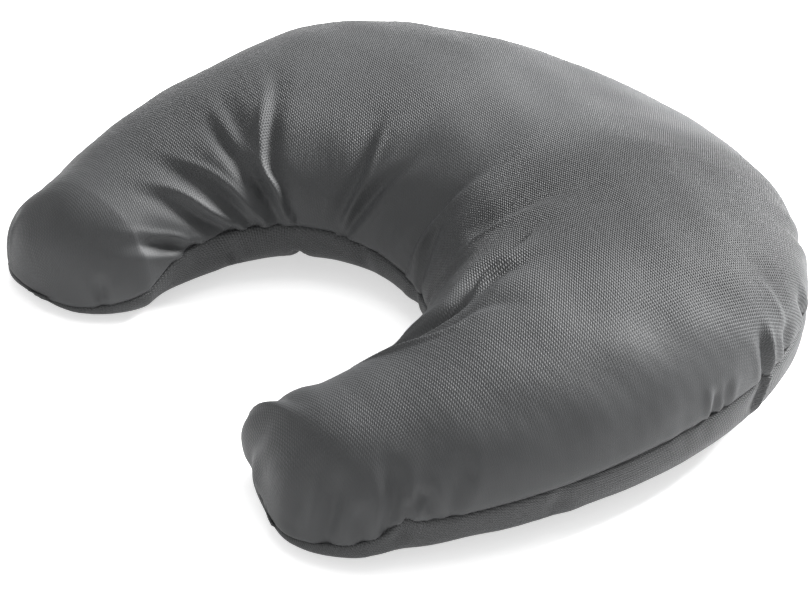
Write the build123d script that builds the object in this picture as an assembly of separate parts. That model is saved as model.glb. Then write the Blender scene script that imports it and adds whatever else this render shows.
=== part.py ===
from build123d import *
from math import asin, cos, degrees, hypot, radians, sin, sqrt
import os

os.makedirs("parts", exist_ok=True)

# Half-moon nursing pillow, millimetres, +Z up, resting on z = 0.
# The two arms point toward -Y and the waist opening lies between them.
# A zipped outer cover holds a filled inner cushion; both are two panels joined by one edge seam.

# ---- plan outline: tangent arcs from the middle of the back toward the arm tip ----
BACK_Y = 273.7              # outer edge at the middle of the back
BACK_WIDTH = 299.0          # outer edge to inner edge at the middle of the back
OUTER_RADII = (375.0, 230.0, 490.0)
OUTER_LENGTHS = (183.3, 228.8, 280.0)
INNER_RADII = (111.0, 145.0)
INNER_LENGTHS = (116.2, 110.0)
STATIONS = 17               # cross-sections from one arm tip to the other

# ---- section heights ----
SEAM_Z = 52.0               # height of the edge seam all the way round
TOP_Z_BACK = 142.0
TOP_Z_SHOULDER = 150.0
TOP_Z_ARM = 95.0
SHOULDER_AT = 0.5           # where along an arm the pillow is thickest
FLAT_SHARE = 0.55           # share of the half-width that lies flat on the floor
UNDERCUT = 0.4              # the underside is lofted this much low and trimmed flat at z = 0

# ---- cloth ----
COVER_T = 1.2
COVER_ALLOWANCE = 8.0       # seam allowance turned inside the cover
CASE_T = 0.6
CASE_ALLOWANCE = 5.0
CASE_INSET = 15.0           # inner cushion's edge inside the cover's edge
CASE_GAP = 1.0              # between the cover's inside and the inner cushion, above and below
FILL_INSET = CASE_INSET + CASE_ALLOWANCE + 0.6
FILL_GAP = 0.3
THREAD = 0.6
COVER_SEAM_INSET = 3.0      # stitch line inside the edge
CASE_SEAM_INSET = 2.0

# ---- zip, on the arc round the middle of the back ----
ZIP_R = OUTER_RADII[0]
ZIP_CENTRE_Y = BACK_Y - ZIP_R
SLOT_HALF_DEG = 27.0
SLOT_HALF = 5.5             # half height of the slot between the two turned hems
HEM_T = 1.2
HEM_RISE = 9.0              # hem cloth that lies on the tape
TAPE_DEPTH = 7.0            # outer face of the tape behind the edge
TAPE_T = 0.6
TAPE_WIDTH = 13.0
CHAIN_HALF = 3.0            # half width of the closed chain
COIL_T = 2.2
COIL_GAP = 0.15             # each closed coil stops this far from the middle line
SPREAD_W = 0.8              # what is left of each coil where the slider's wedge parts them
CHAIN_FROM_DEG = -23.6
STOP_LEN = 5.0
STITCH_UP = 10.5            # stitch line above and below the middle of the zip

# ---- slider and pull tab, at rest at the closed end ----
SLIDER_DEG = 24.2           # middle of the slider
SLIDER_LEN = 14.0
SLIDER_HALF = 4.4
PLATE_T = 1.0
PLATE_CLEAR = 0.35
DIAMOND_LEN = 4.0
DIAMOND_HALF = 1.8
BRIDGE_HALF = 1.0
BRIDGE_LEN = 8.0
BRIDGE_T = 0.9
PIN_R = 0.6
PIN_CLEAR = 0.25
PIN_X = -1.4                # the pin sits toward the trailing end of the bridge
TAB_LEN = 17.0
TAB_ARM = 6.0
TAB_HALF = 3.2


def chain_point(start_y, radii, lengths, distance):
    """Point on a chain of tangent arcs that starts at (0, start_y) heading +X and turns clockwise."""
    x, y, heading = 0.0, start_y, 0.0
    for radius, length in zip(radii, lengths):
        step = max(0.0, min(distance, length))
        turned = heading + step / radius
        x += radius * (sin(turned) - sin(heading))
        y += radius * (cos(turned) - cos(heading))
        heading = turned
        distance -= step
    return x, y


def ease(t):
    """Smooth step from 0 to 1."""
    t = max(0.0, min(1.0, t))
    return t * t * (3 - 2 * t)


class Station:
    """One upright cross-section of the pillow; t runs from -1 at the left tip to 1 at the right."""

    def __init__(self, t):
        side = -1 if t < 0 else 1
        along = abs(t)
        ox, oy = chain_point(BACK_Y, OUTER_RADII, OUTER_LENGTHS, along * sum(OUTER_LENGTHS))
        ix, iy = chain_point(BACK_Y - BACK_WIDTH, INNER_RADII, INNER_LENGTHS,
                             along * sum(INNER_LENGTHS))
        self.centre = (side * (ox + ix) / 2, (oy + iy) / 2, 0)
        self.half = hypot(ox - ix, oy - iy) / 2
        outward = Vector(side * (ox - ix), oy - iy, 0)
        self.plane = Plane(origin=self.centre, x_dir=outward, z_dir=outward.cross(Vector(0, 0, 1)))
        if along < SHOULDER_AT:
            self.top = TOP_Z_BACK + (TOP_Z_SHOULDER - TOP_Z_BACK) * ease(along / SHOULDER_AT)
        else:
            down = (along - SHOULDER_AT) / (1 - SHOULDER_AT)
            drop = (ease(down) + down ** 1.25) / 2
            self.top = TOP_Z_SHOULDER + (TOP_Z_ARM - TOP_Z_SHOULDER) * drop


def upper_arc(half, seam, top, to_angle):
    """Half or quarter ellipse over the top, from the outer edge."""
    return EllipticalCenterArc((0, seam), half, top - seam, 0, arc_size=to_angle)


def underside(half, flat, seam, low, whole):
    """Edges from the outer edge down and across the flat, to the middle or to the inner edge."""
    outer = EllipticalCenterArc((flat, seam), half - flat, seam - low, 0, arc_size=-90)
    if not whole:
        return [outer, Line((flat, low), (0, low))]
    inner = EllipticalCenterArc((-flat, seam), half - flat, seam - low, -90, arc_size=-90)
    return [outer, Line((flat, low), (-flat, low)), inner]


def trimmed_start(half, rise, up):
    """Half-width of an ellipse at a height above its own middle."""
    return half * sqrt(1 - (up / rise) ** 2)


def panel_face(station, inset, lift, cloth, allowance, upper, whole):
    """Section of a cloth panel with its seam allowance turned in; upper or lower panel."""
    half = station.half - inset
    seam = SEAM_Z
    inner_half = half - cloth
    back = half - allowance
    if upper:
        top = station.top - lift
        turn = seam + cloth
        rise = top - cloth - seam
        start = trimmed_start(inner_half, rise, cloth)
        angle = degrees(asin(cloth / rise))
        outer = [upper_arc(half, seam, top, 180 if whole else 90)]
        if whole:
            inner = [EllipticalCenterArc((0, seam), inner_half, rise, angle, arc_size=180 - 2 * angle)]
        else:
            inner = [EllipticalCenterArc((0, seam), inner_half, rise, angle, arc_size=90 - angle),
                     Line((0, top), (0, top - cloth))]
    else:
        low = lift - (UNDERCUT if lift == 0 else 0)
        inner_low = lift + cloth
        turn = seam - cloth
        flat = FLAT_SHARE * half
        rise = seam - inner_low
        start = flat + trimmed_start(inner_half - flat, rise, cloth)
        angle = degrees(asin(cloth / rise))
        outer = underside(half, flat, seam, low, whole)
        inner = [EllipticalCenterArc((flat, seam), inner_half - flat, rise, -angle,
                                     arc_size=angle - 90)]
        if whole:
            inner.append(Line((flat, inner_low), (-flat, inner_low)))
            inner.append(EllipticalCenterArc((-flat, seam), inner_half - flat, rise, -90,
                                             arc_size=angle - 90))
        else:
            inner.append(Line((flat, inner_low), (0, inner_low)))
            inner.append(Line((0, low), (0, inner_low)))
    hem = [Line((half, seam), (back, seam)), Line((back, seam), (back, turn)),
           Line((back, turn), (start, turn))]
    if whole:
        hem += [Line((-half, seam), (-back, seam)), Line((-back, seam), (-back, turn)),
                Line((-back, turn), (-start, turn))]
    return station.plane * make_face(Curve() + outer + inner + hem)


def solid_face(station, inset, lift, whole):
    """Closed section of the filling."""
    half = station.half - inset
    top = station.top - lift
    edges = [upper_arc(half, SEAM_Z, top, 180 if whole else 90)]
    edges += underside(half, FLAT_SHARE * half, SEAM_Z, lift, whole)
    if not whole:
        edges.append(Line((0, lift), (0, top)))
    return station.plane * make_face(Curve() + edges)


def sweep_sections(face_at):
    """Loft whole sections from tip to tip and close each arm with half a turn of its end section."""
    stations = [Station(2 * i / (STATIONS - 1) - 1) for i in range(STATIONS)]
    body = loft([face_at(s, True) for s in stations])
    end = stations[-1]
    upright = Axis(end.centre, (0, 0, -1))
    cap = revolve(face_at(end, False), axis=upright, revolution_arc=180)
    return body + cap + mirror(cap, Plane.YZ)


def ring_outline(inset):
    """Closed plan outline at a distance inside the edge."""
    stations = [Station(2 * i / (STATIONS - 1) - 1) for i in range(STATIONS)]
    sides = []
    for side in (1, -1):
        sides.append([s.plane.from_local_coords((side * (s.half - inset), SEAM_Z)) for s in stations])
    ends = []
    for end, first, last in ((stations[0], sides[1][0], sides[0][0]),
                             (stations[-1], sides[0][-1], sides[1][-1])):
        down = end.plane.z_dir if end is stations[-1] else -end.plane.z_dir
        ends.append(ThreePointArc(first, Vector(*end.centre) + Vector(0, 0, SEAM_Z)
                                  + down * (end.half - inset), last))
    return make_face(Curve() + [Spline(*sides[0]), Spline(*sides[1]), *ends])


def thread_ring(inset):
    """Stitch line that follows the edge seam all the way round."""
    band = ring_outline(inset) - ring_outline(inset + THREAD)
    return extrude(band, THREAD / 2, dir=(0, 0, 1), both=True)


ZIP_AXIS = Axis((0, ZIP_CENTRE_Y, 0), (0, 0, 1))


def zip_band(r_in, r_out, z_low, z_high, deg_from, deg_to):
    """Band round the zip arc; radii from the edge, heights from the seam, angles from the middle."""
    start = radians(90 - deg_to)
    plane = Plane(origin=(0, ZIP_CENTRE_Y, 0), x_dir=(cos(start), sin(start), 0),
                  z_dir=(sin(start), -cos(start), 0))
    middle = Pos(ZIP_R + (r_in + r_out) / 2, SEAM_Z + (z_low + z_high) / 2)
    face = plane * middle * Rectangle(r_out - r_in, z_high - z_low)
    return revolve(face, axis=ZIP_AXIS, revolution_arc=deg_to - deg_from)


def zip_place(deg):
    """Local frame on the tape line: x along the zip, y outward, z up."""
    turn = radians(90 - deg)
    radius = ZIP_R - TAPE_DEPTH - TAPE_T / 2
    at = (radius * cos(turn), ZIP_CENTRE_Y + radius * sin(turn), SEAM_Z)
    return Plane(origin=at, x_dir=(sin(turn), -cos(turn), 0), z_dir=(0, 0, 1))


# ---- outer cover ----
slot = zip_band(-14, 6, -SLOT_HALF, SLOT_HALF, -SLOT_HALF_DEG, SLOT_HALF_DEG)
floor_trim = Pos(0, 0, -10) * Box(900, 900, 20)


def cover_panel(upper):
    """One cover panel with the zip slot cut and its hem turned in and laid on the tape."""
    panel = sweep_sections(lambda s, whole: panel_face(s, 0, 0, COVER_T, COVER_ALLOWANCE, upper, whole))
    panel -= slot
    side = 1 if upper else -1
    near, far = sorted((side * SLOT_HALF, side * (SLOT_HALF + HEM_T)))
    low, high = sorted((side * SLOT_HALF, side * (SLOT_HALF + HEM_RISE)))
    panel += zip_band(-TAPE_DEPTH, -1.0, near, far, -SLOT_HALF_DEG, SLOT_HALF_DEG)
    panel += zip_band(-TAPE_DEPTH, HEM_T - TAPE_DEPTH, low, high, -SLOT_HALF_DEG, SLOT_HALF_DEG)
    return panel if upper else panel - floor_trim


cover_top_panel = cover_panel(True)
cover_bottom_panel = cover_panel(False)
thread_gap = zip_band(-14, 6, -2, 2, -SLOT_HALF_DEG - 0.3, SLOT_HALF_DEG + 0.3)
cover_seam_thread = thread_ring(COVER_SEAM_INSET) - thread_gap

# ---- inner cushion ----
case_lift = COVER_T + CASE_GAP
inner_case_top_panel, inner_case_bottom_panel = [
    sweep_sections(lambda s, whole: panel_face(s, CASE_INSET, case_lift, CASE_T, CASE_ALLOWANCE,
                                               upper, whole))
    for upper in (True, False)]
inner_case_seam_thread = thread_ring(CASE_INSET + CASE_SEAM_INSET)
fill_lift = case_lift + CASE_T + FILL_GAP
filling = sweep_sections(lambda s, whole: solid_face(s, FILL_INSET, fill_lift, whole))

# ---- zip tapes, their stitching and the bar tacks at both ends ----
tape_back = -TAPE_DEPTH - TAPE_T
TAPE_HALF_DEG = SLOT_HALF_DEG + 1.0
zip_tape_upper = zip_band(tape_back, -TAPE_DEPTH, CHAIN_HALF, CHAIN_HALF + TAPE_WIDTH,
                          -TAPE_HALF_DEG, TAPE_HALF_DEG)
zip_tape_lower = zip_band(tape_back, -TAPE_DEPTH, -CHAIN_HALF - TAPE_WIDTH, -CHAIN_HALF,
                          -TAPE_HALF_DEG, TAPE_HALF_DEG)
stitch_out = HEM_T - TAPE_DEPTH + 0.3
stitch_in = tape_back - 0.3
zip_stitching_upper, zip_stitching_lower = [
    zip_band(stitch_in, stitch_out, side * STITCH_UP - THREAD / 2, side * STITCH_UP + THREAD / 2,
             -SLOT_HALF_DEG + 0.5, SLOT_HALF_DEG - 0.5)
    for side in (1, -1)]

# ---- coils: one continuous bead along each tape edge, parted past the slider's wedge ----
ARC_DEG_PER_MM = degrees(1 / (ZIP_R - TAPE_DEPTH))
wedge_tip = SLIDER_LEN / 2 - DIAMOND_LEN
parting_deg = SLIDER_DEG + (wedge_tip - 0.5) * ARC_DEG_PER_MM
coil_to_deg = SLIDER_DEG + (SLIDER_LEN / 2 + 0.8) * ARC_DEG_PER_MM
coil_mid = -TAPE_DEPTH - TAPE_T / 2


def coil(side):
    """One side of the chain, above (1) or below (-1) the middle line."""
    bands = []
    for nearest, deg_to in ((COIL_GAP, parting_deg), (CHAIN_HALF - SPREAD_W, coil_to_deg)):
        low, high = sorted((side * nearest, side * CHAIN_HALF))
        bands.append(zip_band(coil_mid - COIL_T / 2, coil_mid + COIL_T / 2, low, high,
                              CHAIN_FROM_DEG, deg_to))
    return bands[0] + bands[1]


zip_coil_upper = coil(1)
zip_coil_lower = coil(-1)

# ---- stops and bar tacks ----
stop_deg = coil_to_deg + 1.5 * ARC_DEG_PER_MM
stop_height = CHAIN_HALF - 0.8
stop = Box(2.4, COIL_T, stop_height)
zip_top_stops = Compound(children=[
    zip_place(stop_deg) * Pos(0, 0, side * (CHAIN_HALF - stop_height / 2)) * stop
    for side in (1, -1)])
bottom_deg = CHAIN_FROM_DEG - (STOP_LEN / 2 + 0.5) * ARC_DEG_PER_MM
zip_bottom_stop = zip_place(bottom_deg) * Box(STOP_LEN, COIL_T, 2 * CHAIN_HALF)
tack_out = HEM_T - TAPE_DEPTH
zip_bar_tacks = Compound(children=[
    zip_band(tack_out, tack_out + 0.8, -SLOT_HALF, SLOT_HALF, deg - 0.15, deg + 0.15)
    for deg in (-SLOT_HALF_DEG + 0.4, SLOT_HALF_DEG - 0.4)])

# ---- slider: two plates joined by a wedge at the leading end, with guide lips past the chain ----
slider_frame = zip_place(SLIDER_DEG)
plate_in = COIL_T / 2 + PLATE_CLEAR
plate_mid = plate_in + PLATE_T / 2
lip_from = TAPE_T / 2 + PLATE_CLEAR
lip_out = plate_in + PLATE_T - lip_from
slider_body = Part()
for side in (1, -1):
    plate = extrude(RectangleRounded(SLIDER_LEN, 2 * SLIDER_HALF, 2.0), PLATE_T / 2, both=True)
    slider_body += Pos(0, side * plate_mid, 0) * Rot(90, 0, 0) * plate
    for level in (1, -1):
        lip_z = level * (SLIDER_HALF - 0.5)
        slider_body += Pos(0, side * (lip_from + lip_out / 2), lip_z) * Box(SLIDER_LEN - 4, lip_out, 1.0)
wedge = Polyline((0, 0), (DIAMOND_LEN, DIAMOND_HALF), (DIAMOND_LEN, -DIAMOND_HALF), close=True)
slider_body += Pos(wedge_tip, 0, 0) * extrude(
    Plane.XZ * make_face(wedge), plate_in + 0.2, both=True)
zip_slider_body = slider_frame * slider_body

# ---- bridge on the front plate that holds the pull tab's pin ----
bridge_base = plate_in + PLATE_T
bridge_gap = 2 * (PIN_R + PIN_CLEAR)
bridge_top = bridge_base + bridge_gap + BRIDGE_T
bridge_mid = (bridge_base + bridge_top) / 2
bridge = Pos(0, bridge_mid, 0) * Box(BRIDGE_LEN, bridge_top - bridge_base, 2 * BRIDGE_HALF)
bridge -= Pos(0, bridge_base + bridge_gap / 2, 0) * Box(BRIDGE_LEN - 3.0, bridge_gap, 4 * BRIDGE_HALF)
zip_slider_bridge = slider_frame * bridge

# ---- pull tab: a pin under the bridge, two arms and a plate with a grip hole ----
pin_y = bridge_base + PIN_R + PIN_CLEAR
pin = Pos(PIN_X, pin_y, 0) * Cylinder(PIN_R, 2 * TAB_HALF)
pin_line = Pos(PIN_X, pin_y, 0)
tab = pin
for side in (1, -1):
    tab += pin_line * Pos(-TAB_ARM / 2, 0, side * (TAB_HALF - 0.6)) * Box(TAB_ARM, 2 * PIN_R, 1.2)
blade = extrude(RectangleRounded(TAB_LEN - TAB_ARM + 1, 2 * TAB_HALF, 1.5), PIN_R, both=True)
blade -= Pos(-1.5, 0, 0) * extrude(SlotOverall(5.0, 2.4), PIN_R, both=True)
tab += pin_line * Pos(-(TAB_LEN + TAB_ARM) / 2 + 0.5, 0, 0) * Rot(90, 0, 0) * blade
zip_pull_tab = slider_frame * tab

nodes = {
    "cover_top_panel": cover_top_panel,
    "cover_bottom_panel": cover_bottom_panel,
    "cover_seam_thread": cover_seam_thread,
    "inner_case_top_panel": inner_case_top_panel,
    "inner_case_bottom_panel": inner_case_bottom_panel,
    "inner_case_seam_thread": inner_case_seam_thread,
    "filling": filling,
    "zip_tape_upper": zip_tape_upper,
    "zip_tape_lower": zip_tape_lower,
    "zip_stitching_upper": zip_stitching_upper,
    "zip_stitching_lower": zip_stitching_lower,
    "zip_coil_upper": zip_coil_upper,
    "zip_coil_lower": zip_coil_lower,
    "zip_top_stops": zip_top_stops,
    "zip_bottom_stop": zip_bottom_stop,
    "zip_bar_tacks": zip_bar_tacks,
    "zip_slider_body": zip_slider_body,
    "zip_slider_bridge": zip_slider_bridge,
    "zip_pull_tab": zip_pull_tab,
}
for name, shape in nodes.items():
    export_step(shape, f"parts/{name}.step")
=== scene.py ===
import math

import bmesh
import bpy
import numpy as np
from mathutils import Matrix, Vector


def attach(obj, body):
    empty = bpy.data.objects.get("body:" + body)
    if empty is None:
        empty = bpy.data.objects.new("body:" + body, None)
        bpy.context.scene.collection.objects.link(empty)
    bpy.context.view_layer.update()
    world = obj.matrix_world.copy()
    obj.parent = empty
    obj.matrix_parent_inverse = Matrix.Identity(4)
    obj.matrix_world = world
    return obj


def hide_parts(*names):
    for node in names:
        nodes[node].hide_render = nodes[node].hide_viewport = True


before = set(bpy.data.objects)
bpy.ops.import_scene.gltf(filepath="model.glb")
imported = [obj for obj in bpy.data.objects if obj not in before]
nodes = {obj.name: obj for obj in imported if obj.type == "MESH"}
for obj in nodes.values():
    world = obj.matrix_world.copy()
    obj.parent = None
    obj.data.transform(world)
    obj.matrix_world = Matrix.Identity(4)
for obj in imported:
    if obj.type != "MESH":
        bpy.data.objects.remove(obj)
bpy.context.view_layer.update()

scene = bpy.context.scene
MM = 0.001

# ---- plan outline, the same tangent arcs as the CAD model, in millimetres ----
BACK_Y = 273.7
BACK_WIDTH = 299.0
OUTER_RADII, OUTER_LENGTHS = (375.0, 230.0, 490.0), (183.3, 228.8, 280.0)
INNER_RADII, INNER_LENGTHS = (111.0, 145.0), (116.2, 110.0)
OUTER_LENGTH, INNER_LENGTH = sum(OUTER_LENGTHS), sum(INNER_LENGTHS)

# ---- zip slot in the seam round the back ----
SLOT_HALF = 5.5           # half of its height
SLOT_HALF_LENGTH = math.radians(27.0) * OUTER_RADII[0]
SLOT_BLEND = 7.0          # over which its ends close
SLOT_Z = 52.0             # height of its middle

# ---- height of the edge seam: millimetres along the outer edge from the middle of the back ----
SEAM_OUT_SHIFT = ((-760, -26), (-735, -20), (-700, -9), (-640, 0), (655, 0), (669, 4), (675, 3),
                  (685, -7), (705, -13), (740, -20), (760, -24))
SEAM_IN_HEIGHT = ((-760, 11), (-730, 19), (-692, 27), (-655, 34), (-620, 42), (-560, 49), (-450, 54),
                  (-310, 55), (-240, 53), (-170, 49), (-80, 45), (0, 40), (80, 36), (280, 40),
                  (480, 44), (620, 40), (700, 28), (735, 20), (760, 13))

# ---- the rounded ends of the left and the right arm ----
TIP_ROUND = (0.87, 0.72)  # 1 for an end that is round in plan, less for a squarer one
TIP_REACH = (0.68, 0.8)   # length of the end, as a share of the arm's half-width
TIP_ASIDE = (-11.0, 13.0)     # how far the end leans toward the waist
END_TAPER = 0.7           # how the height falls away over an end: less keeps it up longer
TIP_SLOPE = 0.15          # how fast the arm's top goes on falling over its rounded end

# ---- section across the pillow ----
TOP_BACK, TOP_ARM, TOP_END = 141.0, 150.0, 95.0   # top at the middle of the back, halfway and at the end
SEAM_RISE, SEAM_FALL = 9.0, 23.0                  # outer seam's rise past the slot, and its fall to the end
TOP_FULLNESS, BOTTOM_FULLNESS = 0.96, 0.44        # 1 for a round section, less for a fuller one
SHIFT_REACH = 0.045       # share of the width over which the seam's shift is felt in full
SECTION_STEPS = 420       # points of the section before it is spaced evenly

CLEAR = 0.2               # least height of the cover's underside

# ---- cloth and seam ----
CLOTH_T = 1.0
HEM_DEPTH = 6.9
# the turned-in edge, step by step: share of its depth, and height on the tape along the zip
HEM_STEPS = ((0.15, 0), (0.6, 0), (1.0, 0), (1.07, 3.0), (1.14, 6.0), (1.2, 9.0))
GROOVE_DEPTH = 1.6
GROOVE_WIDTH = 1.7


def ease(t):
    t = np.clip(t, 0.0, 1.0)
    return t * t * (3 - 2 * t)


def chain_points(start_y, radii, lengths, distance):
    """Points on tangent arcs that start at (0, start_y) heading +X and turn clockwise."""
    x, y = np.zeros_like(distance), np.full_like(distance, start_y)
    heading = np.zeros_like(distance)
    left = distance.copy()
    for radius, length in zip(radii, lengths):
        step = np.clip(left, 0.0, length)
        turned = heading + step / radius
        x = x + radius * (np.sin(turned) - np.sin(heading))
        y = y + radius * (np.cos(turned) - np.cos(heading))
        heading = turned
        left = left - step
    return np.stack([x, y], -1)


def smooth_table(x, table, soften):
    """Heights read from a short table of (position, height) pairs, with its corners softened."""
    at, height = zip(*table)
    return sum(np.interp(x + soften * k, at, height) for k in np.linspace(-1, 1, 9)) / 9


class Rows:
    """Cross-section rows from the left tip to the right one: plan position, half-width and heights."""

    def __init__(self, count, cap_count):
        t = np.linspace(-1, 1, count)
        along, side = np.abs(t), np.sign(t)
        outer = chain_points(BACK_Y, OUTER_RADII, OUTER_LENGTHS, along * OUTER_LENGTH)
        inner = chain_points(BACK_Y - BACK_WIDTH, INNER_RADII, INNER_LENGTHS, along * INNER_LENGTH)
        outer[:, 0] *= side
        inner[:, 0] *= side
        centre = (outer + inner) / 2
        half = np.linalg.norm(outer - inner, axis=1) / 2
        across = (outer - inner) / (2 * half[:, None])
        turn = np.radians(np.linspace(0, 90, cap_count + 1)[1:])
        shrink = np.maximum(np.cos(turn), 0.0001) ** END_TAPER
        caps = []
        for end, sign in ((0, -1.0), (-1, 1.0)):
            ahead = np.array([across[end][1], -across[end][0]]) * sign
            push = np.outer(np.sin(turn) ** TIP_ROUND[end], ahead)
            aside = np.outer(np.sin(2 * turn), across[end]) * TIP_ASIDE[end]
            width = np.maximum(np.cos(turn), 0.0001) ** TIP_ROUND[end]
            caps.append((centre[end] + push * half[end] * TIP_REACH[end] - aside, half[end] * width,
                         np.repeat(across[end][None], cap_count, 0), push))
        order = slice(None, None, -1)
        self.centre = np.concatenate([caps[0][0][order], centre, caps[1][0]])
        self.half = np.concatenate([caps[0][1][order], half, caps[1][1]])
        self.across = np.concatenate([caps[0][2][order], across, caps[1][2]])
        self.push = np.concatenate([caps[0][3][order], np.zeros_like(centre), caps[1][3]])
        self.shrink = np.concatenate([shrink[order], np.ones(count), shrink])
        self.t = np.concatenate([np.full(cap_count, -1.0), t, np.full(cap_count, 1.0)])
        cap_run = np.sin(turn) ** END_TAPER * half[-1]
        self.run = np.concatenate([-OUTER_LENGTH - cap_run[order], t * OUTER_LENGTH,
                                   OUTER_LENGTH + cap_run])
        along = np.abs(self.t)
        past_half = (along - 0.5) / 0.5
        falling = (ease(past_half) + np.clip(past_half, 0, 1) ** 1.25) / 2
        self.top = np.where(along < 0.5, TOP_BACK + (TOP_ARM - TOP_BACK) * ease(along / 0.5),
                            TOP_ARM - (TOP_ARM - TOP_END) * falling)
        self.top = self.top - TIP_SLOPE * np.maximum(np.abs(self.run) - OUTER_LENGTH, 0)
        level = (SLOT_Z + SEAM_RISE * ease((along - 0.27) / 0.15)
                 - SEAM_FALL * ease((along - 0.45) / 0.55))
        self.seam_out = level + smooth_table(self.run, SEAM_OUT_SHIFT, 5)
        self.seam_far = level + smooth_table(self.run, SEAM_OUT_SHIFT, 55)   # as felt away from the seam
        self.seam_in = smooth_table(self.run, SEAM_IN_HEIGHT, 20)
        self.gap = SLOT_HALF * ease((SLOT_HALF_LENGTH - np.abs(self.run)) / SLOT_BLEND + 0.5)


def section(rows, count, upper, half_cut=0.0, lift=0.0):
    """Points over the top or under the bottom of every row, evenly spaced from outer to inner edge.
    Returns offsets from the row's centre, heights, distances from the outer edge and full lengths."""
    a = np.linspace(0, math.pi, SECTION_STEPS)
    cos_a, sin_a = np.cos(a), np.sin(a)
    half = np.maximum(rows.half - half_cut * rows.shrink, 0.02)[:, None]
    mix = ((1 - cos_a) / 2)[None]
    seam = rows.seam_far[:, None] * (1 - mix) + rows.seam_in[:, None] * mix
    seam = seam + (rows.seam_out - rows.seam_far)[:, None] * np.exp(-mix / SHIFT_REACH)
    shrink = rows.shrink[:, None]
    if upper:
        z = seam + (rows.top[:, None] - lift - seam) * shrink * sin_a[None] ** TOP_FULLNESS
    else:
        z = seam - (seam - lift) * shrink * sin_a[None] ** BOTTOM_FULLNESS
    off = half * cos_a[None]
    gap = rows.gap[:, None] * ((1 + cos_a[None]) / 2) ** 8
    step = np.hypot(np.diff(off, axis=1), np.diff(z, axis=1))
    length = np.concatenate([np.zeros((len(half), 1)), np.cumsum(step, 1)], 1)
    wanted = np.linspace(0, 1, count)
    offs, zs, arc = (np.empty((len(half), count)) for _ in range(3))
    for i in range(len(half)):
        start = 0.0
        if rows.gap[i] > 0.01 and half_cut == 0:
            height = np.abs(z[i] - seam[i])
            near = slice(SECTION_STEPS // 4)
            start = np.interp(rows.gap[i], height[near], length[i][near])
        d = start + wanted * (length[i][-1] - start)
        offs[i] = np.interp(d, length[i], off[i])
        zs[i] = np.interp(d, length[i], z[i])
        arc[i] = d
    return offs, zs, arc, length[:, -1:]


def place(rows, offs, zs, inset=0.0):
    """Section offsets and heights to points in the frame."""
    xy = (rows.centre - rows.push * inset)[:, None, :] + rows.across[:, None, :] * offs[..., None]
    return np.concatenate([xy, zs[..., None]], -1)


def smooth_noise(points, wavelength, seed):
    """Smooth seeded noise from about -1 to 1: a sum of nine plane waves."""
    local = np.random.default_rng(seed)
    total = np.zeros(points.shape[:-1])
    for _ in range(9):
        d = local.normal(size=points.shape[-1])
        d *= 2 * math.pi / wavelength / np.linalg.norm(d)
        total += np.sin(points @ d + local.uniform(0, 2 * math.pi)) / 3.0
    return total


def outward_of(grid, upper):
    """Normals that point away from the filling."""
    n = np.cross(np.gradient(grid, axis=0), np.gradient(grid, axis=1))
    n = n / np.maximum(np.linalg.norm(n, axis=-1, keepdims=True), 1e-9)
    middle = n[len(n) // 2, n.shape[1] // 2, 2]
    return n if (middle > 0) == upper else -n


class Fold:
    """A crease given point by point. Points run away from the seam: millimetres along the outer edge, then
    millimetres from the inner seam, or minus that from the outer one. Width and ridge are (left, right);
    start is the strength at the seam, and fade the share of its length over which it dies away."""

    def __init__(self, points, depth, width=(7, 7), ridge=(0.3, 0.3), start=0.5, fade=0.55):
        self.points, self.depth, self.width, self.ridge = points, depth, width, ridge
        self.start, self.fade = start, fade


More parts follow.
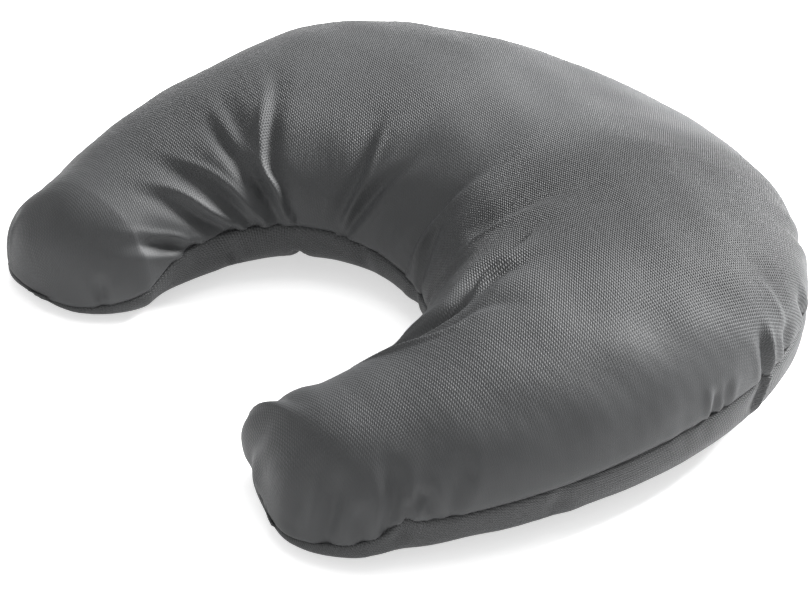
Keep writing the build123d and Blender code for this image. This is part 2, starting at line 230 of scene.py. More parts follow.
TOP_FOLDS = [
    # left arm, from the middle of the waist outward
    Fold([(-312, 12), (-335, 34), (-362, 50), (-374, 75), (-376, 115), (-380, 135), (-400, 165)], 5.5,
         (4.5, 8), (0.6, 0.0)),
    Fold([(-345, 5), (-362, 16), (-391, 33), (-424, 49), (-472, 81), (-505, 123)], 7, (6, 6), (0.2, 0.7)),
    Fold([(-378, 28), (-390, 40), (-412, 58), (-445, 92), (-482, 145)], 4, (5, 9), (0.5, 0.1)),
    Fold([(-400, 3), (-431, 13), (-500, 42), (-557, 64), (-598, 88), (-622, 108)], 6.0, (8, 5), (0.2, 0.9),
         0.5, 0.75),
    Fold([(-455, 1), (-483, 6), (-545, 24), (-604, 50), (-648, 72), (-676, 92)], 6.5, (8, 5), (0.2, 0.9),
         0.5, 0.75),
    Fold([(-560, 1), (-587, 5), (-633, 19), (-682, 36), (-718, 50), (-738, 62)], 5, (5, 4.5), (0.9, 0.9),
         0.5, 0.75),
    Fold([(-742, 2), (-741, 18), (-738, 32)], 4, (5, 5)),
    Fold([(-747, -10), (-745, -28), (-738, -42), (-725, -60)], 4.5, (6, 4), (0.2, 0.6)),
    # middle of the back to the right shoulder
    Fold([(-200, 6), (-188, 28), (-176, 54), (-180, 72), (-187, 95), (-192, 128)], 4.5, (9, 4), (0.0, 0.5)),
    Fold([(-180, 4), (-160, 18), (-140, 32), (-114, 58), (-92, 83), (-78, 104)], 5, (5, 5), (0.5, 0.7)),
    Fold([(18, 8), (28, 40), (38, 80), (37, 110), (30, 135)], 5.5, (10, 5), (0.1, 0.7), 0.3),
    Fold([(86, 6), (83, 26), (78, 45), (68, 62), (58, 82)], 5, (5, 9), (0.5, 0.2)),
    Fold([(205, 70), (196, 91), (196, 110), (192, 140), (184, 165)], 4, (14, 8), (0.1, 0.7), 0.2),
    Fold([(560, 25), (520, 65), (478, 92), (403, 103), (348, 119), (282, 133), (255, 172)], 8, (7, 5),
         (0.3, 0.62), 0.3, 0.4),
    Fold([(570, 30), (530, 72), (474, 100), (417, 118), (393, 134), (356, 150), (332, 158)], 6.5, (5, 7),
         (0.6, 0.3), 0.3, 0.45),
    Fold([(600, 40), (560, 78), (528, 100), (502, 110), (482, 122), (471, 140), (465, 162)], 7.5, (12, 3.8),
         (0.1, 0.75), 0.3, 0.65),
    # right shoulder, above the outer seam
    Fold([(371, -2), (370, -17), (367, -30), (360, -48)], 5, (6, 4), (0.3, 0.9), 0.8),
    Fold([(337, -2), (337, -14), (334, -30)], 4, (6, 9), (0.7, 0.1), 0.7),
    Fold([(332, -18), (325, -34), (312, -62), (296, -90)], 3, (6, 12), (0.6, 0.0), 0.2),
    Fold([(284, -2), (292, -14), (298, -34)], 4.5, (6, 6), (0.5, 0.5), 0.8),
    Fold([(430, -2), (427, -13), (422, -26)], 3.5, (4, 5), (0.8, 0.3), 0.8),
    Fold([(418, -3), (416, -15), (412, -26)], 2.5, (4, 4), (0.4, 0.5), 0.8),
    # right arm's tip
    Fold([(623, -22), (623, -36), (621, -52)], 1.6, (5, 5), start=0.2),
    Fold([(651, -4), (656, -16), (661, -30)], 4.0, (5, 5), (0.4, 0.4), 0.7),
    Fold([(671, -1), (669, -10), (666, -20)], 4, (3, 4), (0.5, 0.9), 0.9),
    Fold([(685, -3), (678, -18), (675, -32), (671, -52)], 5, (6, 6), (0.4, 0.4), 0.7),
    Fold([(704, -2), (705, -16), (702, -34)], 3.6, (5, 5), (0.4, 0.4), 0.7),
    Fold([(731, -3), (728, -17), (722, -36), (712, -66)], 5, (7, 7), (0.3, 0.3), 0.6),
    Fold([(751, -12), (744, -34), (728, -62), (706, -84)], 3, (9, 7), (0.2, 0.5), 0.4, 0.8),
    Fold([(640, -3), (634, -20), (628, -44)], 3, (6, 6), (0.4, 0.4), 0.6),
    Fold([(741, 16), (735, 36), (725, 80), (712, 110)], 5, (8, 4), (0.1, 0.8), 0.8, 0.7),
    Fold([(758, 10), (754, 46), (745, 75), (730, 100)], 4.5, (9, 7), (0.3, 0.6), 0.8, 0.7),
    # sides that face away: below the right arm's crest, and round the back
    Fold([(180, 4), (205, 34), (222, 70)], 5, (7, 7), (0.4, 0.5)),
    Fold([(270, 4), (290, 38), (330, 74)], 6, (8, 6), (0.3, 0.6)),
    Fold([(350, 4), (378, 34), (420, 66)], 5.5, (7, 8), (0.4, 0.5)),
    Fold([(440, 4), (470, 32), (520, 52)], 6, (8, 6), (0.2, 0.7)),
    Fold([(188, -6), (212, -34), (232, -74)], 4, (8, 8), (0.5, 0.3)),
    Fold([(-190, -6), (-222, -30), (-246, -66)], 4, (8, 8), (0.3, 0.5)),
    Fold([(-330, -3), (-336, -28), (-350, -60)], 4, (6, 8), (0.5, 0.3), 0.8),
    Fold([(-470, -3), (-474, -26), (-482, -50)], 3.5, (6, 6), start=0.8),
    Fold([(-600, -3), (-604, -24), (-612, -44)], 3.5, (6, 6), start=0.8),
]
BOTTOM_FOLDS = [
    Fold([(-310, 24), (-304, 36), (-300, 50), (-297, 84)], 15, (3.5, 4.5), (0, 0), 0.0, 0.3),
    Fold([(-460, 14), (-459, 28), (-457, 44)], 5, (6, 6), start=0.3),
    Fold([(367, -1), (372, -9), (376, -18), (380, -34)], 3.5, (2.5, 9), (0.7, 0.0), 0.9, 0.4),
    Fold([(671, -1), (672, -10), (676, -22)], 3, (4, 6), (0.4, 0.4), 0.9),
    Fold([(560, -4), (562, -16), (566, -34)], 2.5, (8, 8), start=0.6),
    Fold([(250, -4), (254, -20), (260, -40)], 3, (8, 8), start=0.6),
    Fold([(-250, -4), (-256, -18), (-264, -40)], 3, (8, 8), start=0.6),
    Fold([(-520, -4), (-524, -16), (-530, -36)], 3, (7, 7), start=0.6),
    Fold([(60, 3), (58, 16), (54, 34)], 3.5, (7, 7), start=0.8),
    Fold([(-130, 3), (-132, 16), (-138, 34)], 3.5, (7, 7), start=0.8),
    Fold([(300, 3), (306, 18), (316, 36)], 4, (7, 7), start=0.8),
    Fold([(520, 3), (524, 18), (532, 34)], 3.5, (7, 7), start=0.8),
    Fold([(742, 16), (738, 30), (730, 44)], 3, (7, 7), start=0.6),
]


# places where the filling pushes the cover out or lets it sink: point, reach and height, in millimetres
LUMPS = [((116, -243, 48), 27, 9.0), ((146, -266, 40), 16, -3.0),
         ((-195, -235, 88), 22, -3.5), ((-190, -264, 62), 15, 2.5),
         ((150, 218, 105), 62, 6.5), ((75, 243, 103), 60, 4.0)]


def lump_rise(points):
    return sum(height * np.exp(-((points - np.array(at)) ** 2).sum(-1) / reach ** 2)
               for at, reach, height in LUMPS)


def lookup(field, u, v):
    """Values of a grid at fractional rows and columns."""
    u, v = np.clip(u, 0, field.shape[0] - 1.001), np.clip(v, 0, field.shape[1] - 1.001)
    i, j = u.astype(int), v.astype(int)
    a, b = u - i, v - j
    if field.ndim == 3:
        a, b = a[..., None], b[..., None]
    return (field[i, j] * (1 - a) * (1 - b) + field[i + 1, j] * a * (1 - b)
            + field[i, j + 1] * (1 - a) * b + field[i + 1, j + 1] * a * b)


def smooth_path(points, step):
    """Points evenly spaced along a Catmull-Rom curve through the given points."""
    p = np.array([2 * points[0] - points[1], *points, 2 * points[-1] - points[-2]])
    out = []
    for k in range(1, len(p) - 2):
        t = np.linspace(0, 1, 24, endpoint=False)[:, None]
        a, b, c, d = p[k - 1], p[k], p[k + 1], p[k + 2]
        out.append(0.5 * (2 * b + (c - a) * t + (2 * a - 5 * b + 4 * c - d) * t ** 2
                          + (3 * b - a - 3 * c + d) * t ** 3))
    dense = np.concatenate(out + [p[-2:-1]])
    gone = np.concatenate([[0], np.cumsum(np.linalg.norm(np.diff(dense, axis=0), axis=1))])
    at = np.linspace(0, gone[-1], max(4, int(gone[-1] / step)))
    return np.stack([np.interp(at, gone, dense[:, k]) for k in range(dense.shape[1])], -1)


FOLD_STEP = 0.8           # spacing of a fold's points, in steps of the grid
FOLD_ROWS = 3.12          # rows on each side that a fold can move, for each millimetre of its width
CREASE_POWER = 1.7        # how squarely a crease's floor meets its sides
CREST_HEIGHT = 0.62       # height of a full ridge, as a share of the crease's depth
CREST_AT, CREST_WIDTH = 1.75, 0.75        # of a ridge beside its crease, in widths of the crease


def fold_rise(rows, grid, outward, full, folds):
    """How far the listed folds lift or sink every point of a panel."""
    count = grid.shape[1]
    total = np.zeros(grid.shape[:2])
    order = np.argsort(rows.run)
    for fold in folds:
        points = np.array(fold.points, float)
        u = np.interp(points[:, 0], rows.run[order], np.arange(len(rows.run)))
        length = np.interp(points[:, 0], rows.run[order], full[order, 0])
        from_outer = np.where(points[:, 1] < 0, -points[:, 1], length - points[:, 1])
        path = smooth_path(np.stack([u, from_outer / length * (count - 1)], -1), FOLD_STEP)
        line = lookup(grid, path[:, 0], path[:, 1])
        reach = FOLD_ROWS * max(fold.width)
        i0 = max(int(path[:, 0].min() - reach) - 2, 0)
        i1 = min(int(path[:, 0].max() + reach) + 3, len(grid))
        block = grid[i0:i1].reshape(-1, 3)
        best = np.full(len(block), np.inf)
        nearest = np.zeros(len(block), int)
        for k in range(len(line)):
            d = ((block - line[k]) ** 2).sum(1)
            closer = d < best
            best[closer], nearest[closer] = d[closer], k
        tangent = np.gradient(line, axis=0)
        side_way = np.cross(tangent, lookup(outward, path[:, 0], path[:, 1]))
        side = ((block - line[nearest]) * side_way[nearest]).sum(1)
        share = nearest / (len(line) - 1)
        width = np.where(side > 0, fold.width[1], fold.width[0]) * (0.85 + 0.5 * share)
        crest = np.where(side > 0, fold.ridge[1], fold.ridge[0])
        x = np.sqrt(best) / width
        ridge = CREST_HEIGHT * np.exp(-((x - CREST_AT) / CREST_WIDTH) ** 2)
        shape = crest * ridge - np.exp(-x ** CREASE_POWER)
        strength = fold.start + (1 - fold.start) * ease(share / 0.3)
        strength = strength * ease((1 - share) / fold.fade)
        total[i0:i1] += (fold.depth * strength * shape).reshape(i1 - i0, count)
    return total


def flat_cloth(rows, base, arc, full):
    """Where every point lies on the flat cloth before sewing; the tips are laid out at full length."""
    middle = base[:, base.shape[1] // 2]
    step = np.linalg.norm(np.diff(middle, axis=0), axis=1)
    plan = np.linalg.norm(np.diff(rows.centre, axis=0), axis=1)
    extra = np.concatenate([[0], np.cumsum(step - plan)])
    capped = rows.shrink < 0.9999
    first, last = np.argmin(capped), len(capped) - 1 - np.argmin(capped[::-1])
    reach = np.where(np.arange(len(capped)) > last, extra - extra[last],
                     np.where(np.arange(len(capped)) < first, extra[first] - extra, 0.0))
    ahead = np.where(rows.run[:, None] > 0, rows.push[-1], rows.push[0])
    line = rows.centre + ahead * reach[:, None]
    return line[:, None, :] + rows.across[:, None, :] * (full / 2 - arc)[..., None]


def panel_grid(rows, count, upper, buckled=None):
    """Points and flat cloth coordinates of a cover panel, and how far its folds and lumps moved it;
    buckled is the simulated rise on the coarse grid."""
    offs, zs, arc, full = section(rows, count, upper)
    base = place(rows, offs, zs)
    flat = flat_cloth(rows, base, arc, full)
    outward = outward_of(base, upper)
    live = ease(rows.shrink[:, None] / 0.2)
    to_outer, to_inner = arc, full - arc
    edge = np.minimum(to_outer, to_inner)
    rise = fold_rise(rows, base, outward, full, TOP_FOLDS if upper else BOTTOM_FOLDS)
    rise += 1.5 * smooth_noise(base, 150, 3 if upper else 4) * ease(edge / 40)
    rise += 0.4 * smooth_noise(base, 45, 13 if upper else 14) * ease(edge / 20)
    rise += lump_rise(base) * ease(edge / 14)
    if buckled is not None:
        step = np.interp(rows.run, SIM_ROWS.run, np.arange(len(SIM_ROWS.run)))
        column = arc / full * (buckled.shape[1] - 1)
        rise += lookup(buckled, np.broadcast_to(step[:, None], column.shape), column)
    moved = outward * (rise * live)[..., None]
    # seam puckers: short waves across the seam that die away from it
    rise = np.zeros_like(rise)
    for seed, from_edge, inner in ((21, to_outer, False), (22, to_inner, True)):
        run = rows.run * (INNER_LENGTH / OUTER_LENGTH if inner else 1.0)
        line = np.stack([run, np.zeros_like(run)], -1)
        waves = smooth_noise(line, 17.0, seed) * (0.2 + 0.8 * ease(smooth_noise(line, 90, seed + 5) - 0.2))
        strength = (0.45 + 0.3 * (1 - rows.shrink)) * np.where(rows.gap > 0.5, 0.3, 1.0)
        rise += (waves * strength)[:, None] * np.exp(-((from_edge / 14.0) ** 1.4))
    # the seam's groove
    closed = 1 - rows.gap[:, None] / SLOT_HALF
    rise -= GROOVE_DEPTH * closed * np.exp(-to_outer / GROOVE_WIDTH)
    rise -= GROOVE_DEPTH * np.exp(-to_inner / GROOVE_WIDTH)
    grid = base + moved + outward * (rise * live)[..., None]
    if not upper:
        grid[..., 2] = np.maximum(grid[..., 2], CLEAR)
    return grid, flat, moved


def inner_grid(rows, count, upper, inset, lift, moved):
    """A layer inside the cover that follows the cover's folds; moved is the cover's own movement."""
    offs, zs, arc, full = section(rows, count, upper, inset, lift)
    base = place(rows, offs, zs, inset)
    flat = flat_cloth(rows, base, arc, full)
    outward = outward_of(base, upper)
    edge = np.minimum(arc, full - arc)
    live = ease(rows.shrink[:, None] / 0.3)
    run = np.stack([rows.run, np.zeros_like(rows.run)], -1)
    waves = smooth_noise(run, 16.0, 31 if upper else 32)[:, None] * np.exp(-((edge / 9.0) ** 1.4))
    rise = (0.5 * waves - 0.3 + 0.25 * smooth_noise(base, 30, 33)) * live
    grid = base + moved * ease(edge / 25)[..., None] + outward * rise[..., None]
    if not upper:
        grid[..., 2] = np.maximum(grid[..., 2], lift)
    return grid, flat


def with_hems(rows, grid, flat, upper):
    """The panel with its allowance turned in at both edges, and laid on the tape along the zip."""
    side = 1 if upper else -1
    open_share = rows.gap / SLOT_HALF
    columns = [grid[:, j] for j in range(grid.shape[1])]
    flats = [flat[:, j] for j in range(flat.shape[1])]
    for edge, inward in ((0, -1.0), (-1, 1.0)):
        strip, flat_strip = [], []
        hemmed = open_share * (edge == 0)
        room = np.minimum(HEM_DEPTH, rows.half * 0.7)
        for reach, rise in HEM_STEPS:
            deep = room * np.where(hemmed > 0.5, min(reach, 1.0), reach)
            point = grid[:, edge].copy()
            point[:, :2] += rows.across * (inward * deep)[:, None]
            point[:, 2] += side * rise * hemmed
            strip.append(point)
            flat_strip.append(flat[:, edge] - rows.across * (inward * (deep + rise * hemmed))[:, None])
        if edge == 0:
            columns, flats = strip[::-1] + columns, flat_strip[::-1] + flats
        else:
            columns, flats = columns + strip, flats + flat_strip
    return np.stack(columns, 1), np.stack(flats, 1)


# ---- meshes ----
def link_mesh(name, points, faces, cloth=None):
    """A linked object from points in millimetres, with flat cloth coordinates if there are any."""
    mesh = bpy.data.meshes.new(name)
    mesh.from_pydata((np.asarray(points).reshape(-1, 3) * MM).tolist(), [], faces)
    if cloth is not None:
        attribute = mesh.attributes.new("cloth", "FLOAT_VECTOR", "POINT")
        flat = (np.asarray(cloth).reshape(-1, 3) * MM).astype(np.float32)
        attribute.data.foreach_set("vector", flat.ravel())
    obj = bpy.data.objects.new(name, mesh)
    scene.collection.objects.link(obj)
    return obj


def weld(obj):
    bm = bmesh.new()
    bm.from_mesh(obj.data)
    bmesh.ops.remove_doubles(bm, verts=bm.verts, dist=0.00005)
    bm.to_mesh(obj.data)
    bm.free()
    obj.data.shade_smooth()


def apply_modifiers(obj):
    bpy.context.view_layer.objects.active = obj
    with bpy.context.temp_override(object=obj, active_object=obj, selected_objects=[obj]):
        for modifier in list(obj.modifiers):
            bpy.ops.object.modifier_apply(modifier=modifier.name)


def quads_of(ids):
    """Quads of a grid of point numbers."""
    return np.stack([ids[:-1, :-1], ids[1:, :-1], ids[1:, 1:], ids[:-1, 1:]], -1).reshape(-1, 4)


def grid_faces(grid, up):
    """Quads of a grid of points, wound so that the middle faces up or down."""
    nu, nv = grid.shape[:2]
    quads = quads_of(np.arange(nu * nv).reshape(nu, nv))
    mid = grid[nu // 2, nv // 2]
    n = np.cross(grid[nu // 2 + 1, nv // 2] - mid, grid[nu // 2, nv // 2 + 1] - mid)
    return quads if (n[2] > 0) == up else quads[:, ::-1]


def weave_strength_and_painted_light(rows, count, upper):
    """How plainly the weave shows, in its bump and in its colour contrast. The colour contrast is painted
    light: strong where the key light grazes the right shoulder, weak in the shade of the inner wall and the
    tips, and weak at the seams.
    """
    if not upper:
        # Painted shade: the underside's weave contrast is kept low all over.
        return np.full((len(rows.run), count + 2 * len(HEM_STEPS)), 0.35)
    share = np.linspace(0, 1, count)[None]      # of the way from the outer seam to the inner one
    run = rows.run[:, None]
    # Painted light: the weave's colour contrast is raised over the right shoulder, where the key light
    # grazes, and cut where the cloth lies in shade.
    right = ease((run - 60) / 120) * ease((430 - run) / 140)      # 1 over the right shoulder
    outer = 0.2 + 0.8 * ease((share - 0.05) / (0.34 - 0.2 * right))
    inner = 0.08 + 0.92 * ease((0.94 - share) / 0.38)
    back = 1 - 0.72 * ease((180 - np.abs(run + 40)) / 140) - 0.25 * ease((-run - 150) / 150)
    arm = 1 - 0.72 * ease((run - 290) / 190)
    front = 1 - 0.6 * ease((run - 330) / 120) * ease((0.42 - share) / 0.3)
    tip = 1 - 0.8 * ease((-run - 480) / 230) - 0.3 * ease((run - 600) / 130)
    relief_and_painted_light = outer * inner * (1 + 1.6 * right) * back * arm * front * tip
    hem = len(HEM_STEPS)
    return np.pad(relief_and_painted_light, ((0, 0), (hem, hem)), "edge")


def grid_object(name, grid, flat, up, thickness, relief_and_painted_light=1.0):
    """A cloth panel with thickness; its cloth coordinates are the flat ones and the weave's relief, which
    also sets the painted light in the weave's colour contrast.
    """
    cloth = np.concatenate([flat, np.broadcast_to(relief_and_painted_light, flat.shape[:2])[..., None]], -1)
    obj = link_mesh(name, grid, grid_faces(grid, up).tolist(), cloth)
    weld(obj)
    solid = obj.modifiers.new("cloth", "SOLIDIFY")
    solid.thickness = thickness * MM
    solid.offset = -1
    apply_modifiers(obj)
    obj.data.shade_smooth()
    return obj


TUBE_SIDES = 6


def tube(name, path, radius):
    """A thin round tube along an open path of points."""
    sides = TUBE_SIDES
    tangent = np.gradient(path, axis=0)
    tangent /= np.linalg.norm(tangent, axis=1, keepdims=True)
    away = np.cross(tangent, np.array([0.0, 0.0, 1.0]))
    away /= np.maximum(np.linalg.norm(away, axis=1, keepdims=True), 1e-6)
    over = np.cross(away, tangent)
    turn = np.linspace(0, 2 * math.pi, sides, endpoint=False)
    rings = (path[:, None] + radius * (np.cos(turn)[None, :, None] * away[:, None]
                                       + np.sin(turn)[None, :, None] * over[:, None]))
    n = len(path)
    i, j = np.meshgrid(np.arange(n - 1), np.arange(sides), indexing="ij")
    k = (j + 1) % sides
    quads = np.stack([i * sides + j, i * sides + k, (i + 1) * sides + k, (i + 1) * sides + j], -1)
    ends = [list(range(sides))[::-1], [(n - 1) * sides + q for q in range(sides)]]
    along = np.concatenate([[0], np.cumsum(np.linalg.norm(np.diff(path, axis=0), axis=1))])
    cloth = np.stack([np.repeat(along, sides), np.tile(turn * radius, n), np.zeros(n * sides)], -1)
    obj = link_mesh(name, rings, quads.reshape(-1, 4).tolist() + ends, cloth)
    obj.data.shade_smooth()
    return obj


# ---- cloth simulation: the sewn cover on a coarser grid, blown up ----
SIM_ROWS = Rows(181, 14)
SIM_COUNTS = {True: 58, False: 46}
SIM_MOST = 1.6            # the most the simulated cloth may rise or sink, in millimetres
EASED_IN = 0.08           # how much longer each panel is than the seam it is eased onto
EASE_REACH = 24.0         # how far from the seam that extra length goes, in millimetres
LAST_FRAME = 20
PRESSURE, BENDING = 90, 15      # of the simulated cover, in the simulation's own units
SOFT_HOLD = 0.2           # how strongly the open cloth is held to its place
FOLD_HOLD = 0.7           # how much more where a fold is set


def blurred(field, passes):
    """A grid of values averaged with its neighbours, again and again."""
    for _ in range(passes):
        wide = np.pad(field, 1, "edge")
        field = (wide[:-2, 1:-1] + wide[2:, 1:-1] + wide[1:-1, :-2] + wide[1:-1, 2:] + 4 * field) / 8
    return field


def sewn_faces(ids):
    """Faces of a grid of point numbers; quads that meet in a tip's single point become triangles."""
    faces = [list(dict.fromkeys(quad)) for quad in quads_of(ids).tolist()]
    return [face for face in faces if len(face) > 2]


def weight_group(obj, name, weights):
    group = obj.vertex_groups.new(name=name)
    weights = np.round(weights, 2)
    for value in np.unique(weights[weights > 0]):
        group.add(np.flatnonzero(weights == value).tolist(), float(value), "REPLACE")


def simulated_rise():
    """Blow the sewn cover up and return, for each panel, how far its cloth buckles in or out."""
    coarse = SIM_ROWS
    grids, ways, ids, slack, hold, start = {}, {}, {}, [], [], 0
    line = np.stack([coarse.run, np.zeros_like(coarse.run)], -1)
    for upper, folds in ((True, TOP_FOLDS), (False, BOTTOM_FOLDS)):
        offs, zs, arc, full = section(coarse, SIM_COUNTS[upper], upper)
        base = place(coarse, offs, zs)
        ways[upper] = outward_of(base, upper)
        edge = np.minimum(arc, full - arc)
        tip = ease(coarse.shrink[:, None] / 0.2)
        rise = fold_rise(coarse, base, ways[upper], full, folds) * tip * ease(edge / 8)
        grids[upper] = base + ways[upper] * rise[..., None]
        ids[upper] = start + np.arange(edge.size).reshape(edge.shape)
        start += edge.size
        uneven = 0.35 + 0.65 * ease(0.5 + smooth_noise(line, 110, 61 if upper else 62))
        slack.append((np.exp(-(edge / EASE_REACH) ** 2) * uneven[:, None]).ravel())
        held = SOFT_HOLD + FOLD_HOLD * ease(np.abs(rise) / 2)
        fixed = (edge < 1.0) | (coarse.shrink[:, None] < 0.35) | (grids[upper][..., 2] < 1.5)
        hold.append(np.where(fixed, 1.0, held).ravel())
    for end in (0, -1):
        ids[False][:, end] = ids[True][:, end]
    for end in (0, -1):
        ids[True][end] = ids[False][end] = ids[True][end, 0]
    faces = sewn_faces(ids[True][:, ::-1]) + sewn_faces(ids[False])
    points = np.concatenate([grids[True].reshape(-1, 3), grids[False].reshape(-1, 3)])
    used = np.unique(np.concatenate(faces))
    renumber = np.full(start, -1)
    renumber[used] = np.arange(len(used))
    obj = link_mesh("cover_cloth_study", points[used], [renumber[face].tolist() for face in faces])
    weight_group(obj, "slack", np.concatenate(slack)[used])
    weight_group(obj, "hold", np.concatenate(hold)[used])
    cloth = obj.modifiers.new("Cloth", "CLOTH")
    cloth.point_cache.frame_start, cloth.point_cache.frame_end = 1, LAST_FRAME
    cloth.collision_settings.use_collision = False
    settings = cloth.settings
    settings.quality, settings.mass, settings.air_damping = 5, 0.001, 2.0
    settings.tension_stiffness, settings.compression_stiffness, settings.shear_stiffness = 10, 8, 2
    settings.bending_model, settings.bending_stiffness = "ANGULAR", BENDING
    settings.use_pressure, settings.uniform_pressure_force = True, PRESSURE
    settings.vertex_group_mass = "hold"
    settings.vertex_group_shrink = "slack"
    settings.shrink_min, settings.shrink_max = 0.0, -EASED_IN
    settings.effector_weights.gravity = 0.0
    for frame_number in range(1, LAST_FRAME + 1):
        scene.frame_set(frame_number)
    blown = np.empty(len(used) * 3, np.float32)
    obj.evaluated_get(bpy.context.evaluated_depsgraph_get()).data.vertices.foreach_get("co", blown)
    moved = blown.reshape(-1, 3) / MM - points[used]
    bpy.data.meshes.remove(obj.data)
    scene.frame_set(1)
    result = {}
    for upper in (True, False):
        rise = (moved[renumber[ids[upper]]] * ways[upper]).sum(-1)
        rise -= blurred(rise, 40)          # the slow swelling is left out
        result[upper] = SIM_MOST * np.tanh(rise / SIM_MOST)
    return result


# ---- node materials ----
class Graph:
    """Short calls for building a material's nodes."""

    def __init__(self, name):
        self.material = bpy.data.materials.new(name)
        self.material.use_nodes = True
        self.tree = self.material.node_tree
        self.shader = self.tree.nodes["Principled BSDF"]

    def set(self, **values):
        for key, value in values.items():
            self.shader.inputs[key.replace("_", " ")].default_value = value

    def node(self, kind, inputs=None, **props):
        """A new node with its properties, and its inputs by name or number."""
        n = self.tree.nodes.new(kind)
        for key, value in props.items():
            setattr(n, key, value)
        for key, value in (inputs or {}).items():
            self.plug(value, n.inputs[key])
        return n

    def plug(self, value, socket):
        if isinstance(value, bpy.types.NodeSocket):
            self.tree.links.new(value, socket)
        else:
            socket.default_value = value

    def math(self, op, a, b=0.0, c=0.0):
        return self.node("ShaderNodeMath", {0: a, 1: b, 2: c}, operation=op).outputs[0]

    def add(self, a, b):
        return self.math("ADD", a, b)

    def mul(self, a, b):
        return self.math("MULTIPLY", a, b)

    def madd(self, a, b, c):
        """a times b, plus c."""
        return self.math("MULTIPLY_ADD", a, b, c)

    def split(self, vector):
        return self.node("ShaderNodeSeparateXYZ", {0: vector}).outputs

    def local(self):
        """The piece's own coordinates."""
        return self.node("ShaderNodeTexCoord").outputs["Object"]

    def ramp(self, value, low, high, out_low=0.0, out_high=1.0):
        inputs = dict(enumerate((value, low, high, out_low, out_high)))
        return self.node("ShaderNodeMapRange", inputs, interpolation_type="SMOOTHSTEP").outputs[0]

    def noise(self, vector, scale, detail=2.0, roughness=0.5):
        inputs = {"Scale": scale, "Detail": detail, "Roughness": roughness, "Vector": vector}
        return self.node("ShaderNodeTexNoise", inputs).outputs["Fac"]

    def mix(self, factor, a, b, beyond=False):
        """Colour a mixed with b; beyond lets the factor go past 1."""
        n = self.node("ShaderNodeMix", {"Factor": factor}, data_type="RGBA", clamp_factor=not beyond)
        self.plug(a, n.inputs[6])
        self.plug(b, n.inputs[7])
        return n.outputs[2]

    def cloth(self, wobble=0.0):
        """The flat cloth coordinates, in metres, made slightly uneven."""
        flat = self.node("ShaderNodeAttribute", attribute_name="cloth").outputs["Vector"]
        if not wobble:
            return flat
        uneven = self.node("ShaderNodeTexNoise", {"Scale": 30, "Vector": flat}).outputs["Color"]
        shift = {0: uneven, 1: (wobble, wobble, 0), 2: flat}
        return self.node("ShaderNodeVectorMath", shift, operation="MULTIPLY_ADD").outputs[0]

    def bump(self, height, strength, distance):
        inputs = {"Strength": strength, "Distance": distance, "Height": height}
        return self.node("ShaderNodeBump", inputs).outputs[0]

    def out(self, colour, roughness, normal):
        for value, name in ((colour, "Base Color"), (roughness, "Roughness"), (normal, "Normal")):
            self.plug(value, self.shader.inputs[name])
        return self.material


def grey(v):
    """A grey with a little less red and more blue."""
    return (v * 0.97, v, v * 1.03, 1.0)


RIB_LENGTH, RIB_PITCH = 2.9, 1.65     # the knit's ribs slant at 45 degrees across the cloth
RIB_HALF = (0.48, 0.44)   # half of a rib's length and width, as shares of its cell
WEAVE_MEAN = 0.47         # how light the weave is on average, from dark to light
BOLDEST = 1.9             # the most that the weave's contrast may be raised


def knit_material(name, dark, light):
    """Textured knit: staggered slanting ribs, raised, with slow colour variation and fine fuzz."""
    g = Graph(name)
    cloth = g.cloth(wobble=0.0011)
    x, y, relief_and_painted_light = g.split(cloth)
    relief_and_painted_light = g.mul(relief_and_painted_light, 1 / MM)
    along = g.mul(g.math("SUBTRACT", y, x), math.sqrt(0.5) / (RIB_LENGTH * MM))
    across = g.mul(g.add(x, y), math.sqrt(0.5) / (RIB_PITCH * MM))
    row = g.math("FLOOR", across)
    stagger = g.madd(row, 0.5, along)
    fa = g.math("DIVIDE", g.math("SUBTRACT", g.math("FRACT", stagger), 0.5), RIB_HALF[0])
    fb = g.math("DIVIDE", g.math("SUBTRACT", g.math("FRACT", across), 0.5), RIB_HALF[1])
    r = g.math("SQRT", g.add(g.mul(fa, fa), g.mul(fb, fb)))
    rib = g.ramp(r, 1.1, 0.1)
    cell = g.node("ShaderNodeCombineXYZ", {0: g.math("FLOOR", stagger), 1: row}).outputs[0]
    own = g.node("ShaderNodeTexWhiteNoise", {"Vector": cell}, noise_dimensions="2D")
    slow = g.noise(cloth, 22, 3)
    fuzz = g.noise(cloth, 1500, 2)
    lit = g.madd(g.mul(rib, own.outputs["Value"]), 0.7, 0.3)
    lit = g.mul(lit, g.madd(slow, 0.5, 0.75))
    colour = g.mix(lit, grey(dark), grey(light))
    plain = grey(dark + (light - dark) * WEAVE_MEAN)
    # Painted light: the ribs' colour contrast is scaled by the relief attribute, strong where the key light
    # grazes and faint in shade.
    weave_contrast_with_painted_light = g.mul(relief_and_painted_light, g.ramp(slow, 0.35, 0.75, 1.0, 0.7))
    weave_contrast_with_painted_light = g.math("MINIMUM", weave_contrast_with_painted_light, BOLDEST)
    even = g.mix(weave_contrast_with_painted_light, plain, colour, beyond=True)
    height = g.madd(fuzz, 0.15, g.mul(rib, relief_and_painted_light))
    g.set(Sheen_Weight=0.04, Sheen_Roughness=0.5, Specular_IOR_Level=0.3)
    g.shader.inputs["Sheen Tint"].default_value = (0.8, 0.82, 0.86, 1)
    return g.out(even, g.madd(fuzz, 0.12, 0.52), g.bump(height, 1.0, 0.0013))


